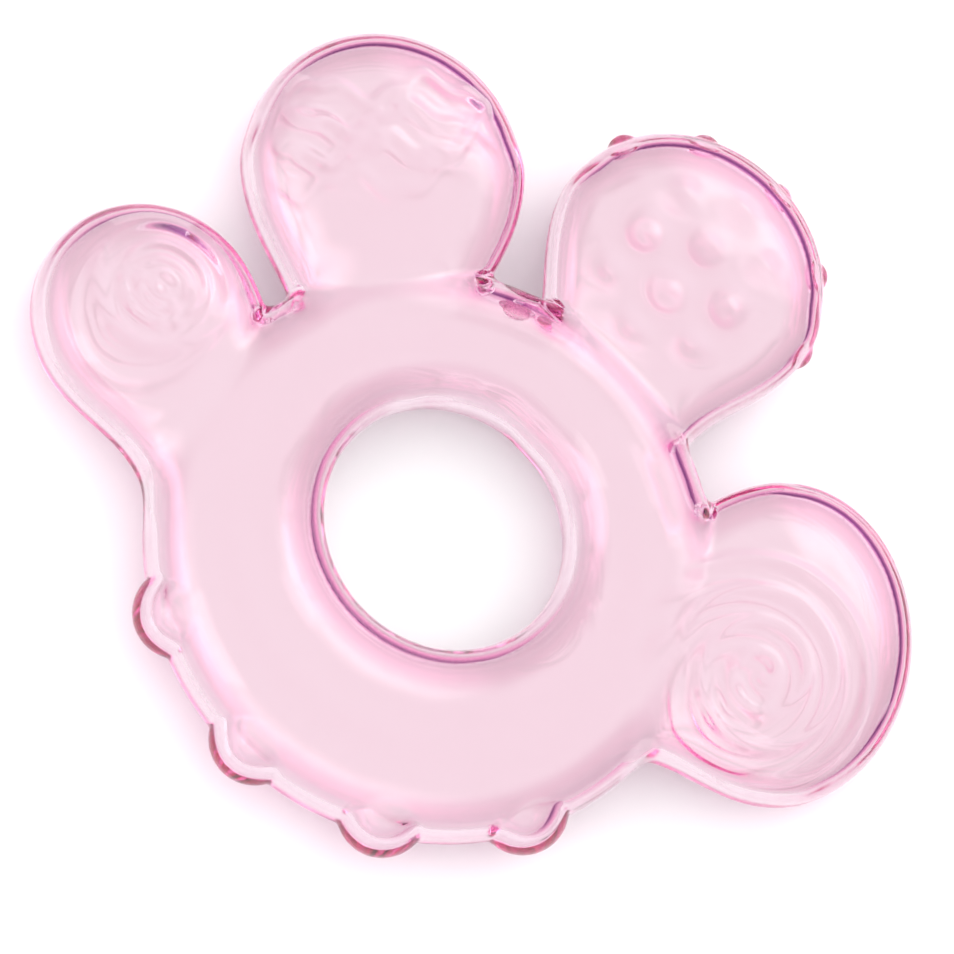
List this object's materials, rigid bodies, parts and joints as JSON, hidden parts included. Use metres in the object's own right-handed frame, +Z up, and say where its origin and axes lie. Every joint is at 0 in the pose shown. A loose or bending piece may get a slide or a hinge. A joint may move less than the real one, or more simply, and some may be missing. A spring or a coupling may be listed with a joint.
{
  "type": "teething ring",
  "caption": "Liquid-filled teething ring shaped like an open hand: round grip ring, textured chewing lobes on one side and small bumps on the opposite rim.",
  "frame": {"origin": "centre of the bounding box, on the plane that the teether lies on", "axes": "+Z up through the thickness, out of the front face; +Y from the grip hole towards the middle of the fingers; +X to the right across the hand, along its longest extent"},
  "size_m": [0.1242, 0.1084, 0.017],
  "materials": {
    "shell": "clear glossy soft EVA, tinted pink",
    "fluid": "clear water-like liquid",
    "plug": "clear soft plug, tinted pink"
  },
  "bodies": {
    "root": {"front_shell": "shell", "rear_shell": "shell", "cooling_fluid": "fluid", "fill_plug": "plug"}
  },
  "joints": []
}
